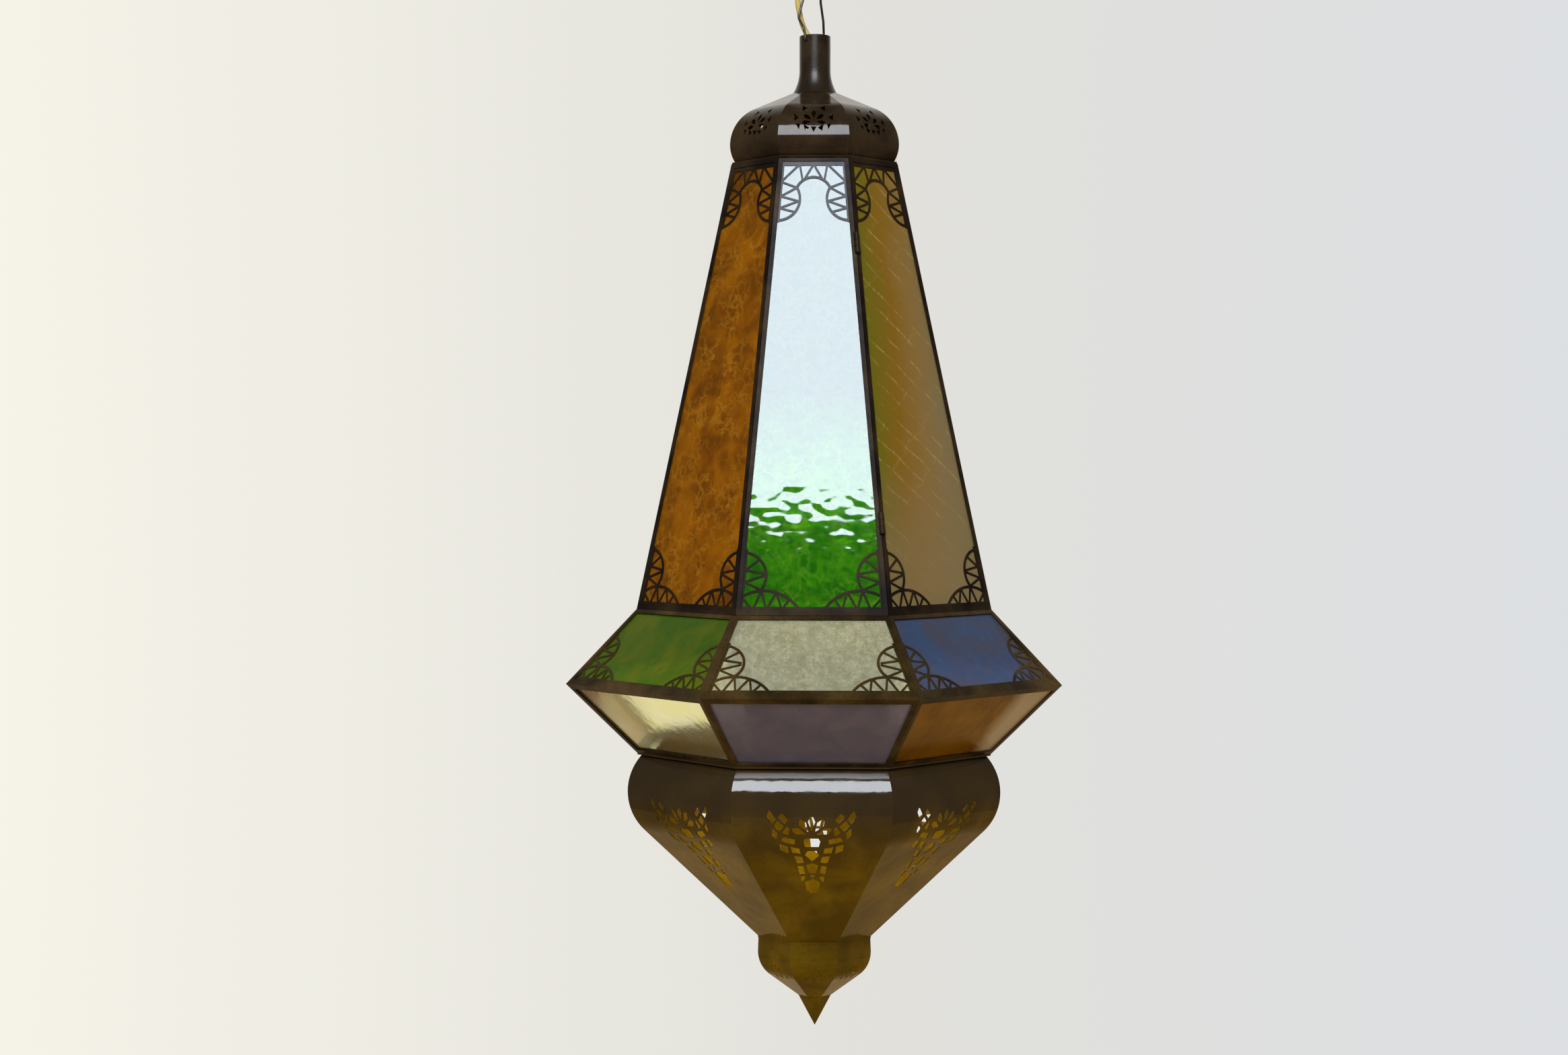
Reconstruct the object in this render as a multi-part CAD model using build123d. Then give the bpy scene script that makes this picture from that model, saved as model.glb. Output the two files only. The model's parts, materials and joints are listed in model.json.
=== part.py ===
from build123d import *
import math
import os

# Eight-sided hanging pendant lantern of sheet metal and coloured glass, with a glass door,
# hung from a wire bail. Millimetres, +Z up. The origin is the inside of the bail's top,
# where it sits on a hook. The door's panel faces -Y, and azimuth turns towards +X.

# ------------------------------------------------------------------ driving dimensions
SIDES = 8
SECTOR = 360 / SIDES
HALF_SECTOR = SECTOR / 2
TAN_HALF = math.tan(math.radians(HALF_SECTOR))
SIN_HALF = math.sin(math.radians(HALF_SECTOR))
COS_HALF = math.cos(math.radians(HALF_SECTOR))

MOUTH_Z = -43.0            # rim of the neck tube
SHEET = 0.8                # sheet metal of the cap, bowl and finial
REACH = 320.0              # longer than any radius of the lantern

# Corners of the glazed wall's outer face: apothem, depth below the neck's rim
TAPER_HEAD = (66.0, 106.0)
TAPER_FOOT = (139.0, 458.0)
WAIST = (192.0, 515.0)
SKIRT_FOOT = (139.0, 571.0)
WALL = [TAPER_HEAD, TAPER_FOOT, WAIST, SKIRT_FOOT]

# Channel frames and panes
FRAME_THICK = 4.0
FRAME_FACE = 3.6           # width of the channel's face beside the glass
EDGE_FACE = [3.6, 3.6, 5.4, 3.6]   # the same along each corner of the wall; wider at the waist
PANE_EDGE = [1.2, 1.2, 3.8, 1.2]   # how far a pane stays back from each corner
GLASS_OUT = 1.3            # depth of the pane's outer face below the frame's face
GLASS_THICK = 2.0
GROOVE_OUT = 0.6
GROOVE_IN = 3.4
GLASS_BITE = 2.4           # how far a pane goes into its side channels
GROOVE_SLACK = 0.15
OVERLAY_OUT = 0.7          # pierced overlay, between the channel's lip and the glass
OVERLAY_THICK = 0.5
DOOR_GAP = 0.45
DOOR_HEAD_GAP = 0.9

# Neck tube and its trumpet foot: outer radius
NECK_R = 12.5
NECK_WALL = 0.8
NECK_STRAIGHT = 27.0
NECK_FOOT_R = 18.4
NECK_FOOT_DEPTH = 46.5

# Bail wire and the holes that it turns in
WIRE_R = 1.0
PIVOT_DEPTH = 4.5
PIVOT_HOLE_R = 1.05
PIVOT_TURN = 31.0          # the holes' line is turned this far from Y
BAIL_OUT = 14.2            # where the wire bends upwards, from the neck's axis

# Flex
FLEX_R = 2.25
PIVOT_FLEX_GAP = 2.6       # between the two flex pieces, where the flex bends at the pivot
CONNECTOR = (13.0, 9.0, 15.0)
CONNECTOR_FOOT_Z = 3.0
WIRE_BORE_R = 1.7
WIRE_BORE_LEN = 9.5
CONNECTOR_AT = (-14.7, -1.8)
TIE_Z = -9.0

# Door hinge on the right rib of the front panel
HINGE_DEPTHS = (174.5, 389.5)
HINGE_STANDOFF = 1.4       # pin axis outside the rib's edge
PIN_R = 0.9
PIN_BORE_R = 0.95
KNUCKLE_R = 2.2
KNUCKLE_LEN = 4.8
KNUCKLE_GAP = 0.3
LEAF_THICK = 0.55
LEAF_REACH = 3.6
NOTCH_R = KNUCKLE_R + 0.35

# Light fitting: depths below the neck's rim
RING_THICK = 1.5
RING_TOP = TAPER_HEAD[1] - RING_THICK
STRAP_THICK = 1.5
STRAP_WIDTH = 16.0
STRAP_LENGTH = 118.0
NIPPLE_R = 5.0
NIPPLE_BORE_R = 3.2
NUT_ACROSS = 14.0
NUT_THICK = 3.5
HOLDER_TOP = 109.0
CORE_TOP = 124.2           # ceramic core inside the lampholder
HOLDER_FOOT = 162.0
HOLDER_R = 19.0
SCREW_R = 13.2             # bulb's screw cap
SCREW_BORE_R = 13.27
BULB_R = 30.0


# ------------------------------------------------------------------ small helpers
def z_at(depth):
    return MOUTH_Z - depth


def around(shape, index):
    """The same piece at the given side, counted from the front towards +X."""
    return Rot(0, 0, index * SECTOR) * shape


def ring_of(shape, indexes=range(SIDES)):
    return Compound(children=[around(shape, i) for i in indexes])


def sector_prism(inset=0.0):
    """Upright wedge between the front panel's two ribs, each side drawn in by inset."""
    apex = inset / SIN_HALF
    half = (REACH - apex) * TAN_HALF
    outline = Polygon((0, -apex), (-half, -REACH), (half, -REACH), align=None)
    return extrude(outline, 1000, both=True)


def radial_plane():
    """Plane through the axis whose x is the distance out towards the front, y is up."""
    return Plane(origin=(0, 0, 0), x_dir=(0, -1, 0), z_dir=(-1, 0, 0))


def front_solid(points, inset=0.0):
    """A section of apothem and depth points, drawn across the front sector."""
    outline = Polygon(*[(a, z_at(d)) for a, d in points], align=None)
    return extrude(radial_plane() * outline, REACH, both=True) & sector_prism(inset)


def line_crossing(p, u, q, v):
    """Where the line p + s*u meets the line q + t*v, in two dimensions."""
    cross = u[0] * v[1] - u[1] * v[0]
    s = ((q[0] - p[0]) * v[1] - (q[1] - p[1]) * v[0]) / cross
    return (p[0] + s * u[0], p[1] + s * u[1])


def along(tier):
    """Unit direction down a tier's outer face, its inward normal and its slant length."""
    (a0, d0), (a1, d1) = WALL[tier], WALL[tier + 1]
    length = math.hypot(a1 - a0, d1 - d0)
    down = ((a1 - a0) / length, (d1 - d0) / length)
    inward = (-down[1], down[0])
    return down, inward, length


def mitred_corner(index, depth):
    """Corner of the glazed wall's profile, moved in from the outer face by depth."""
    sides = [t for t in (index - 1, index) if 0 <= t < len(WALL) - 1]
    lines = []
    for tier in sides:
        down, inward, _ = along(tier)
        base = WALL[index]
        lines.append(((base[0] + inward[0] * depth, base[1] + inward[1] * depth), down))
    if len(lines) == 1:
        lines.append((WALL[index], (1.0, 0.0)))
    return line_crossing(*lines[0], *lines[1])


def mitred_slab(tier, inset=0.0):
    """The whole thickness of one front panel, mitred to its neighbours."""
    corners = [WALL[tier], WALL[tier + 1],
               mitred_corner(tier + 1, FRAME_THICK), mitred_corner(tier, FRAME_THICK)]
    return front_solid(corners, inset)


def slab(tier, outer, inner, head, foot, side):
    """A layer of one front panel between two depths, drawn in at its head, foot and sides."""
    down, inward, length = along(tier)
    base = WALL[tier]

    def point(run, depth):
        return (base[0] + down[0] * run + inward[0] * depth,
                base[1] + down[1] * run + inward[1] * depth)

    corners = [point(head, outer), point(length - foot, outer),
               point(length - foot, inner), point(head, inner)]
    return front_solid(corners, side)


def panel_plane(tier):
    """Plane of a front panel's outer face: origin mid foot, x to the right, y up the slope."""
    _, inward, _ = along(tier)
    apothem, depth = WALL[tier + 1]
    return Plane(origin=(0, -apothem, z_at(depth)), x_dir=(1, 0, 0),
                 z_dir=(0, inward[0], inward[1]))


# ------------------------------------------------------------------ panels
SIDE_FACE = FRAME_FACE * 0.95


def panel_frame(tier, door=False):
    """U-channel frame round one pane: a slab, less its window and the pane's groove."""
    if door:
        body = slab(tier, 0, FRAME_THICK, DOOR_HEAD_GAP, DOOR_GAP, DOOR_GAP)
    else:
        body = mitred_slab(tier)
    window = slab(tier, -2, FRAME_THICK + 2, EDGE_FACE[tier], EDGE_FACE[tier + 1], SIDE_FACE)
    groove = slab(tier, GROOVE_OUT, GROOVE_IN, PANE_EDGE[tier] - GROOVE_SLACK,
                  PANE_EDGE[tier + 1] - GROOVE_SLACK, SIDE_FACE - GLASS_BITE - GROOVE_SLACK)
    return body - window - groove


def pane_layer(tier, outer, thickness):
    """A sheet the size of the pane, at a depth below the panel's outer face."""
    return slab(tier, outer, outer + thickness, PANE_EDGE[tier], PANE_EDGE[tier + 1],
                SIDE_FACE - GLASS_BITE)


def pane(tier):
    return pane_layer(tier, GLASS_OUT, GLASS_THICK)


# ------------------------------------------------------------------ pierced overlays
STRIP = 1.8                # overlay's border inside the window
BAND = 3.2                 # overlay's border along a head or foot
BAR = 1.6
SCALLOP = 2.0


def bar(p, q, width=BAR):
    run = math.hypot(q[0] - p[0], q[1] - p[1])
    nx, ny = (p[1] - q[1]) / run * width / 2, (q[0] - p[0]) / run * width / 2
    return Polygon((p[0] + nx, p[1] + ny), (p[0] - nx, p[1] - ny),
                   (q[0] - nx, q[1] - ny), (q[0] + nx, q[1] + ny), align=None)


def scallop(start, middle, end):
    return trace(ThreePointArc(start, middle, end), line_width=SCALLOP)


def polygon_strip(place, points):
    return Polygon(*[place(*p) for p in points], align=None)


def overlay_body(tier, sketch):
    sheet = extrude(panel_plane(tier) * sketch, 10, both=True)
    return sheet & pane_layer(tier, OVERLAY_OUT, OVERLAY_THICK)


def corner_half(place):
    """Two scallops that meet in a foot corner, with the zigzag bars behind them."""
    shapes = [polygon_strip(place, [(-4, -4), (STRIP, -4), (STRIP, 47), (-4, 47)]),
              scallop(place(0.5, 44.5), place(15.5, 33), place(14.5, 16.5)),
              scallop(place(1, 11.5), place(21, 15.2), place(44, 1.5))]
    knots = [((1, 31), (11.5, 39.5)), ((1, 31), (15.6, 28.5)), ((1, 22), (15.8, 27)),
             ((1, 22), (14.5, 16)), ((9.5, 1), (14.5, 15.5)), ((1, 9.5), (9.5, 1)),
             ((14.5, 15.5), (19.5, 1)), ((19.5, 1), (26, 14.5)), ((26, 14.5), (31, 1)),
             ((31, 1), (36, 9))]
    return shapes + [bar(place(*p), place(*q)) for p, q in knots]


def foot_overlay(tier):
    """Overlay along a panel's foot: a band, and a scalloped corner at each end."""
    _, _, length = along(tier)
    half_foot = WALL[tier + 1][0] * TAN_HALF
    half_head = WALL[tier][0] * TAN_HALF
    lean = (half_foot - half_head) / length
    sill = EDGE_FACE[tier + 1]
    edge = half_foot - lean * sill - FRAME_FACE

    def left(i, j):
        return (-edge + i + lean * j, sill + j)

    def right(i, j):
        return (edge - i - lean * j, sill + j)

    band = Polygon((-half_foot, 0), (half_foot, 0),
                   (half_foot, sill + BAND), (-half_foot, sill + BAND), align=None)
    sketch = band
    for shape in corner_half(left) + corner_half(right):
        sketch = sketch + shape
    return overlay_body(tier, sketch)


def head_overlay(tier):
    """Overlay at the taper's head: a three-lobed arch with zigzag bars round it."""
    _, _, length = along(tier)
    half_foot = WALL[tier + 1][0] * TAN_HALF
    half_head = WALL[tier][0] * TAN_HALF
    lean = (half_foot - half_head) / length
    edge = half_head + lean * FRAME_FACE - FRAME_FACE
    top = length - FRAME_FACE

    def left(i, j):
        return (-edge + i - lean * j, top - j)

    def right(i, j):
        return (edge - i + lean * j, top - j)

    sketch = Polygon((-half_foot, top - BAND), (half_foot, top - BAND),
                     (half_foot, length), (-half_foot, length), align=None)
    knots = [((1, 15.5), (13.5, 2)), ((1, 16.5), (13, 21)), ((13, 21), (1, 28)),
             ((1, 28), (15.4, 32)), ((1, 37.5), (14, 41)), ((1, 37.5), (15.4, 32)),
             ((13.5, 2), (17, 15.5))]
    for place in (left, right):
        sketch = sketch + polygon_strip(place, [(-4, -4), (STRIP, -4), (STRIP, 49), (-4, 49)])
        sketch = sketch + scallop(place(0.5, 47.5), place(15.5, 36), place(13, 21))
        for p, q in knots:
            sketch = sketch + bar(place(*p), place(*q))
    crown = edge - 0.5
    sketch = sketch + scallop(left(13, 21), (0, top - 12.5), right(13, 21))
    sketch = sketch + bar((0, top - 2), (-crown * 0.28, top - 13.5))
    sketch = sketch + bar((0, top - 2), (crown * 0.28, top - 13.5))
    return overlay_body(tier, sketch)


# ------------------------------------------------------------------ cap, bowl and finial
def outside(apothem, depth):
    return Vector(apothem, z_at(depth))


def gore(path):
    """A curved sheet between two ribs, whose outer face follows the path."""
    section = make_face(offset(path, amount=SHEET, side=Side.RIGHT))
    return extrude(radial_plane() * section, REACH, both=True) & sector_prism()


def dome_path():
    slope = Line(outside(18.0, 46.5), outside(48.0, 61.0))
    shoulder = TangentArc(slope @ 1, outside(67.0, 89.0), tangent=slope % 1)
    curl = TangentArc(shoulder @ 1, outside(63.2, 104.2), tangent=shoulder % 1)
    return Wire([slope, shoulder, curl])


def bowl_path():
    widest = outside(146.0, 601.0)
    lip = TangentArc(widest, outside(135.0, 572.6), tangent=(0, 1))
    turn = TangentArc(widest, outside(133.3, 632.3), tangent=(0, -1))
    slope = Line(turn @ 1, outside(45.5, 723.0))
    lip_down = ThreePointArc(lip @ 1, lip @ 0.5, lip @ 0)
    return Wire([lip_down, turn, slope])


def finial_path():
    side = Line(outside(45.0, 724.6), outside(45.4, 735.5))
    turn = TangentArc(side @ 1, outside(36.6, 754.8), tangent=(0, -1))
    slope = Line(turn @ 1, outside(12.6, 774.5))
    return Wire([side, turn, slope])


def hole(points):
    """A hole through the front sheet, given as across and depth points."""
    outline = Polygon(*[(x, z_at(d)) for x, d in points], align=None)
    return Pos(0, -REACH - 20, 0) * extrude(Plane.XZ * outline, REACH, both=True)


def petal(centre, angle, inner, outer, width):
    """Kite-shaped hole that points away from centre; angle 0 is straight up."""
    ax, ay = math.sin(math.radians(angle)), -math.cos(math.radians(angle))
    wide = inner + (outer - inner) * 0.65

    def at(run, side):
        return (centre[0] + ax * run - ay * side, centre[1] + ay * run + ax * side)

    return [at(inner, 0), at(wide, width / 2), at(outer, width * 0.2),
            at(outer, -width * 0.2), at(wide, -width / 2)]


def mirrored(points):
    return [(-x, d) for x, d in reversed(points)]


def bowl_holes():
    """Fan of petals over a shield that narrows to a tail."""
    centre = (0, 623)
    shapes = [petal(centre, a, 4.5, 15.5, 5.6) for a in (-68, -34, 0, 34, 68)]
    shapes.append([(-6.4, 627), (-5, 624.6), (5, 624.6), (6.4, 627), (5.2, 632), (-5.2, 632)])
    shapes.append([(-3.4, 635.5), (3.4, 635.5), (5.4, 639.5), (0, 645), (-5.4, 639.5)])
    shapes.append([(-4.6, 648.8), (0, 646.6), (4.6, 648.8), (2.6, 655.6), (-2.6, 655.6)])
    shapes.append([(-5.8, 664), (0, 661), (5.8, 664), (4.6, 672), (0, 675.5), (-4.6, 672)])
    shapes.append([(-2.2, 657.4), (2.2, 657.4), (1.2, 659.6), (-1.2, 659.6)])
    side = [[(17.5, 610), (22, 604.5), (25, 607.5), (20, 613)],
            [(26.5, 609.5), (31.5, 602), (33.5, 606.5), (29.5, 613)],
            [(20.5, 615), (25.5, 610), (28.5, 614.5), (24, 619)],
            [(16.5, 616.5), (18.5, 615), (22, 620), (17.5, 622.5)],
            [(25.5, 620), (29.5, 616), (29.5, 621.5), (26.5, 625)],
            [(12.5, 625.5), (21.5, 623.5), (23.5, 627), (13, 630)],
            [(9.5, 633.5), (16, 631.8), (14.5, 637.5), (8.5, 638)],
            [(18, 631.5), (24, 629.5), (23, 635.5), (17.5, 638)],
            [(7.5, 641), (13.5, 640), (11.5, 646.5), (6.2, 646)],
            [(7, 649), (11, 649.5), (9.8, 656.5), (5.4, 656)],
            [(5.2, 659), (8.8, 659), (8.6, 663.5), (6.6, 663)]]
    return shapes + side + [mirrored(s) for s in side]


def dome_holes():
    """Small star of holes on the dome's shoulder."""
    shapes = [petal((0, 78), a, 2.2, 9.0, 3.8) for a in (-100, -55, 0, 55, 100)]
    side = [[(3.2, 83.5), (8.0, 80.5), (6.6, 86)],
            [(11.5, 75), (15, 71.5), (15, 78)],
            [(10.5, 80.6), (14, 80), (11.4, 85)],
            [(5.0, 66.5), (8.6, 64.5), (8.6, 69.5)]]
    shapes.append([(-2.4, 82.5), (2.4, 82.5), (0, 87)])
    return shapes + side + [mirrored(s) for s in side]


def finial_holes():
    """Fan of small slots over a drop."""
    shapes = [petal((0, 752), a, 3.2, 7.6, 2.4) for a in (-75, -38, 0, 38, 75)]
    shapes.append([(-2.0, 753.6), (2.0, 753.6), (0, 757.4)])
    side = [[(4.6, 754.6), (7.4, 753.2), (6.4, 757.6)]]
    return shapes + side + [mirrored(s) for s in side]


def pierced(sheet, holes):
    for points in holes:
        sheet = sheet - hole(points)
    return sheet


def flat_ring(apothem_in, apothem_out, depth_top, depth_foot):
    piece = front_solid([(apothem_in, depth_top), (apothem_out, depth_top),
                         (apothem_out, depth_foot), (apothem_in, depth_foot)])
    return ring_of(piece)


def finial_tip():
    outer = front_solid([(0.02, 774.6), (12.8, 774.6), (0.02, 800.0)])
    inner = front_solid([(0.0, 774.0), (12.1, 774.0), (0.0, 797.6)])
    shell = outer - inner
    piece = None
    for i in range(SIDES):
        part = around(shell, i)
        piece = part if piece is None else piece + part
    return piece


def neck_tube():
    """Straight tube that opens into a trumpet, with the bail's two holes."""
    def wall(offset_in):
        r0, r1 = NECK_R - offset_in, NECK_FOOT_R - offset_in
        straight = Line((r0, z_at(0)), (r0, z_at(NECK_STRAIGHT)))
        flare = TangentArc(straight @ 1, (r1, z_at(NECK_FOOT_DEPTH)), tangent=(0, -1))
        return straight, flare

    out_line, out_flare = wall(0)
    in_line, in_flare = wall(NECK_WALL)
    edges = [out_line, out_flare, in_line, in_flare,
             Line(out_line @ 0, in_line @ 0), Line(out_flare @ 1, in_flare @ 1)]
    section = make_face(edges)
    tube = revolve(Plane.XZ * section, Axis.Z)
    drill = Cylinder(PIVOT_HOLE_R, 4 * NECK_R, rotation=(90, 0, 0))
    return tube - Pos(0, 0, z_at(PIVOT_DEPTH)) * Rot(0, 0, -PIVOT_TURN) * drill


# ------------------------------------------------------------------ bail, flex and ties
def tube_along(points, radii, radius):
    path = FilletPolyline(*points, radius=radii)
    section = Plane(origin=path @ 0, z_dir=path % 0) * Circle(radius)
    return sweep(section, path=path)


def pivot_point(run, height=0.0):
    """Point on the line of the bail's holes: run is towards the front left."""
    turn = math.radians(PIVOT_TURN)
    return (-run * math.sin(turn), -run * math.cos(turn), z_at(PIVOT_DEPTH) + height)


def bail():
    """Wire loop: through the neck, up both sides and over the hook."""
    left = [pivot_point(0), pivot_point(BAIL_OUT), (-8.6, -12.4, MOUTH_Z + 5),
            (-13.3, -7.6, MOUTH_Z + 14), (-9.6, -3.4, MOUTH_Z + 29),
            (-8.4, -2.0, -4.0), (-6.4, 0, 1.0), (0, 0, WIRE_R)]
    right = [pivot_point(0), pivot_point(-BAIL_OUT), (6.9, 11.6, MOUTH_Z + 5),
             (6.6, 8.4, MOUTH_Z + 14), (4.4, 4.0, MOUTH_Z + 29),
             (5.4, 1.4, -4.0), (5.6, 0, 1.0), (0, 0, WIRE_R)]
    left_radii = [1.9, 2.5, 7.0, 12.0, 5.0, 4.0]
    right_radii = [1.9, 3.0, 10.0, 12.0, 4.5, 4.0]
    return tube_along(left, left_radii, WIRE_R) + tube_along(right, right_radii, WIRE_R)


FLEX_UPPER_ROUTE = [(-3.2, 1.85, MOUTH_Z - PIVOT_DEPTH), (-5.2, 2.1, MOUTH_Z + 1),
                    (-9.3, 2.2, MOUTH_Z + 8), (-11.8, 1.2, MOUTH_Z + 16),
                    (-14.0, -0.8, MOUTH_Z + 27.5), (-13.7, -1.8, MOUTH_Z + 35),
                    (*CONNECTOR_AT, CONNECTOR_FOOT_Z + 1.5)]
FLEX_LOWER_ROUTE = [(-3.2, 1.85, MOUTH_Z - PIVOT_DEPTH - PIVOT_FLEX_GAP),
                    (-3.1, 1.8, z_at(22)), (-0.4, 0.6, z_at(48)), (0, 0, z_at(78)),
                    (0.02, 0, z_at(CORE_TOP))]


def flex_tube(points):
    """Flex along its route; each arc is 0.45 of its shorter run over tan of half the turn."""
    radii = []
    for a, b, c in zip(points, points[1:], points[2:]):
        u, v = Vector(*b) - Vector(*a), Vector(*c) - Vector(*b)
        half_turn = math.radians(u.get_angle(v)) / 2
        radii.append(0.45 * min(u.length, v.length) / math.tan(half_turn))
    tube = tube_along(points, radii, FLEX_R)
    length = tube.volume / (math.pi * FLEX_R ** 2)
    print("flex length", round(length, 1), "radii", [round(r, 1) for r in radii])
    return tube


def flex_connector():
    """Two-way connector block: the flex enters its foot, two wire bores open at its head."""
    wide, deep, tall = CONNECTOR
    block = fillet(Box(wide, deep, tall).edges().filter_by(Axis.Z), 1.6)
    block = block - Pos(0, 0, -tall / 2) * Cylinder(FLEX_R + 0.4, 5)
    for x in (-wide / 4, wide / 4):
        block = block - Pos(x, 0, tall / 2) * Cylinder(WIRE_BORE_R, 2 * WIRE_BORE_LEN)
        block = block - Pos(x, -deep / 2, 0) * Rot(90, 0, 0) * Cylinder(1.9, deep - 3)
    return Pos(*CONNECTOR_AT, CONNECTOR_FOOT_Z + tall / 2) * block


def connector_screws():
    wide, deep, tall = CONNECTOR
    screw = Cylinder(1.8, 2.0) - Pos(0, 0, 1.0) * Box(4, 0.6, 1.0)
    x0, y0 = CONNECTOR_AT
    places = [(x0 + dx, y0 - deep / 2 + 1.7) for dx in (-wide / 4, wide / 4)]
    return Compound(children=[Pos(x, y, CONNECTOR_FOOT_Z + tall / 2) * Rot(90, 0, 0) * screw
                              for x, y in places])


def flex_tie():
    """Flat band round the flex and the bail's left wire."""
    flex_at, wire_at = (-13.75, -1.6), (-9.0, -2.7)

    def loop(extra):
        circles = [Pos(*flex_at) * Circle(FLEX_R + extra), Pos(*wire_at) * Circle(WIRE_R + extra)]
        return make_hull(circles[0].edges() + circles[1].edges())

    return Pos(0, 0, TIE_Z) * extrude(loop(1.2) - loop(0.6), 1.1, both=True)


# ------------------------------------------------------------------ door hinge
def rib_point(depth):
    """Point on the right rib of the front taper panel, on the wall's outer corner."""
    (a0, d0), (a1, d1) = TAPER_HEAD, TAPER_FOOT
    apothem = a0 + (a1 - a0) * (depth - d0) / (d1 - d0)
    return Vector(apothem * TAN_HALF, -apothem, z_at(depth))


RIB_UP = (rib_point(TAPER_HEAD[1]) - rib_point(TAPER_FOOT[1])).normalized()
RIB_RADIAL = Vector(SIN_HALF, -COS_HALF, 0)
RIB_OUT = (RIB_RADIAL - RIB_UP * RIB_RADIAL.dot(RIB_UP)).normalized()


def hinge_origin(depth):
    return rib_point(depth) + RIB_OUT * HINGE_STANDOFF


def barrel(depth, shift, length, radius):
    origin = hinge_origin(depth) + RIB_UP * shift
    return Plane(origin=origin, z_dir=RIB_UP) * Cylinder(radius, length)


def leaf(depth, shift, outward, inplane):
    """Small plate on a channel's face, from the knuckle inwards."""
    corner = rib_point(depth) + RIB_UP * shift
    plate = Plane(origin=corner, x_dir=inplane, z_dir=RIB_UP)
    lift = 1 if plate.y_dir.dot(outward) > 0 else -1
    outline = Polygon((0.3, 0), (LEAF_REACH, 0), (LEAF_REACH, lift * LEAF_THICK),
                      (0.3, lift * LEAF_THICK), align=None)
    return extrude(plate * outline, KNUCKLE_LEN / 2, both=True)


def knuckle(depth, shift, on_door):
    normal = Vector(0, along(0)[1][0], along(0)[1][1])
    inplane = RIB_UP.cross(normal)
    if inplane.X > 0:
        inplane = inplane * -1
    if not on_door:
        normal = normal.rotate(Axis.Z, SECTOR)
        inplane = RIB_UP.cross(normal)
        if inplane.dot(Vector(SIN_HALF, COS_HALF, 0)) < 0:
            inplane = inplane * -1
    roll = barrel(depth, shift, KNUCKLE_LEN, KNUCKLE_R)
    joined = roll + leaf(depth, shift, normal, inplane)
    return joined - barrel(depth, shift, 2 * KNUCKLE_LEN, PIN_BORE_R)


KNUCKLE_PITCH = KNUCKLE_LEN + KNUCKLE_GAP


def door_knuckles():
    return Compound(children=[knuckle(d, 0, True) for d in HINGE_DEPTHS])


def casing_knuckles():
    return Compound(children=[knuckle(d, shift, False) for d in HINGE_DEPTHS
                              for shift in (-KNUCKLE_PITCH, KNUCKLE_PITCH)])


def hinge_pins():
    half = 1.5 * KNUCKLE_LEN + KNUCKLE_GAP + 0.1
    head = 0.6
    pins = []
    for depth in HINGE_DEPTHS:
        pin = barrel(depth, 0, 2 * (half + head), PIN_R)
        for side in (-1, 1):
            pin = pin + barrel(depth, side * (half + head / 2), head, 1.5)
        pins.append(pin)
    return Compound(children=pins)


def hinge_notches():
    length = 3 * KNUCKLE_LEN + 2 * KNUCKLE_GAP + 2.2
    cuts = [barrel(d, 0, length, NOTCH_R) for d in HINGE_DEPTHS]
    return cuts[0] + cuts[1]


# ------------------------------------------------------------------ light fitting
def rod(radius, top, foot, x=0.0):
    return Pos(x, 0, z_at((top + foot) / 2)) * Cylinder(radius, foot - top)


def pipe(outer, inner, top, foot):
    return rod(outer, top, foot) - rod(inner, top - 1, foot + 1)


RIVET_X = 54.5
RIVET_R = 1.5


def seat_ring():
    ring = flat_ring(50.0, 65.4, RING_TOP, RING_TOP + RING_THICK)
    holes = [rod(RIVET_R + 0.1, RING_TOP - 1, RING_TOP + RING_THICK + 1, x)
             for x in (-RIVET_X, RIVET_X)]
    return Compound(children=[piece - holes[0] - holes[1] for piece in ring.solids()])


def lamp_bracket():
    strap = Box(STRAP_LENGTH, STRAP_WIDTH, STRAP_THICK)
    strap = Pos(0, 0, z_at(RING_TOP - STRAP_THICK / 2)) * strap
    for x, radius in ((0, NIPPLE_R + 0.1), (-RIVET_X, RIVET_R + 0.1), (RIVET_X, RIVET_R + 0.1)):
        strap = strap - rod(radius, RING_TOP - 5, RING_TOP + 5, x)
    return strap


def bracket_rivets():
    top, foot = RING_TOP - STRAP_THICK, RING_TOP + RING_THICK
    rivets = []
    for x in (-RIVET_X, RIVET_X):
        rivets.append(rod(RIVET_R, top - 1.2, foot + 1.2, x) + rod(3.0, top - 1.2, top, x)
                      + rod(3.0, foot, foot + 1.2, x))
    return Compound(children=rivets)


def nipple_nuts():
    strap_top = RING_TOP - STRAP_THICK
    nuts = []
    for top in (strap_top - NUT_THICK, RING_TOP):
        blank = extrude(RegularPolygon(NUT_ACROSS / 2, 6, major_radius=False), NUT_THICK)
        nuts.append(Pos(0, 0, z_at(top + NUT_THICK)) * blank
                    - rod(NIPPLE_R + 0.05, top - 1, top + NUT_THICK + 1))
    return Compound(children=nuts)


def turned(points):
    """Solid of revolution from radius and depth points."""
    outline = Polygon(*[(r, z_at(d)) for r, d in points], align=None)
    return revolve(Plane.XZ * outline, Axis.Z)


def lampholder_cap():
    top = HOLDER_TOP
    return turned([(NIPPLE_R + 0.05, top), (9, top), (14, top + 2.5), (17.6, top + 7),
                   (HOLDER_R, top + 12), (HOLDER_R, CORE_TOP), (HOLDER_R - 2.2, CORE_TOP),
                   (HOLDER_R - 2.2, top + 12), (15.6, top + 8.2), (12.4, top + 4.8),
                   (NIPPLE_R + 0.05, top + 4.4)])


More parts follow.
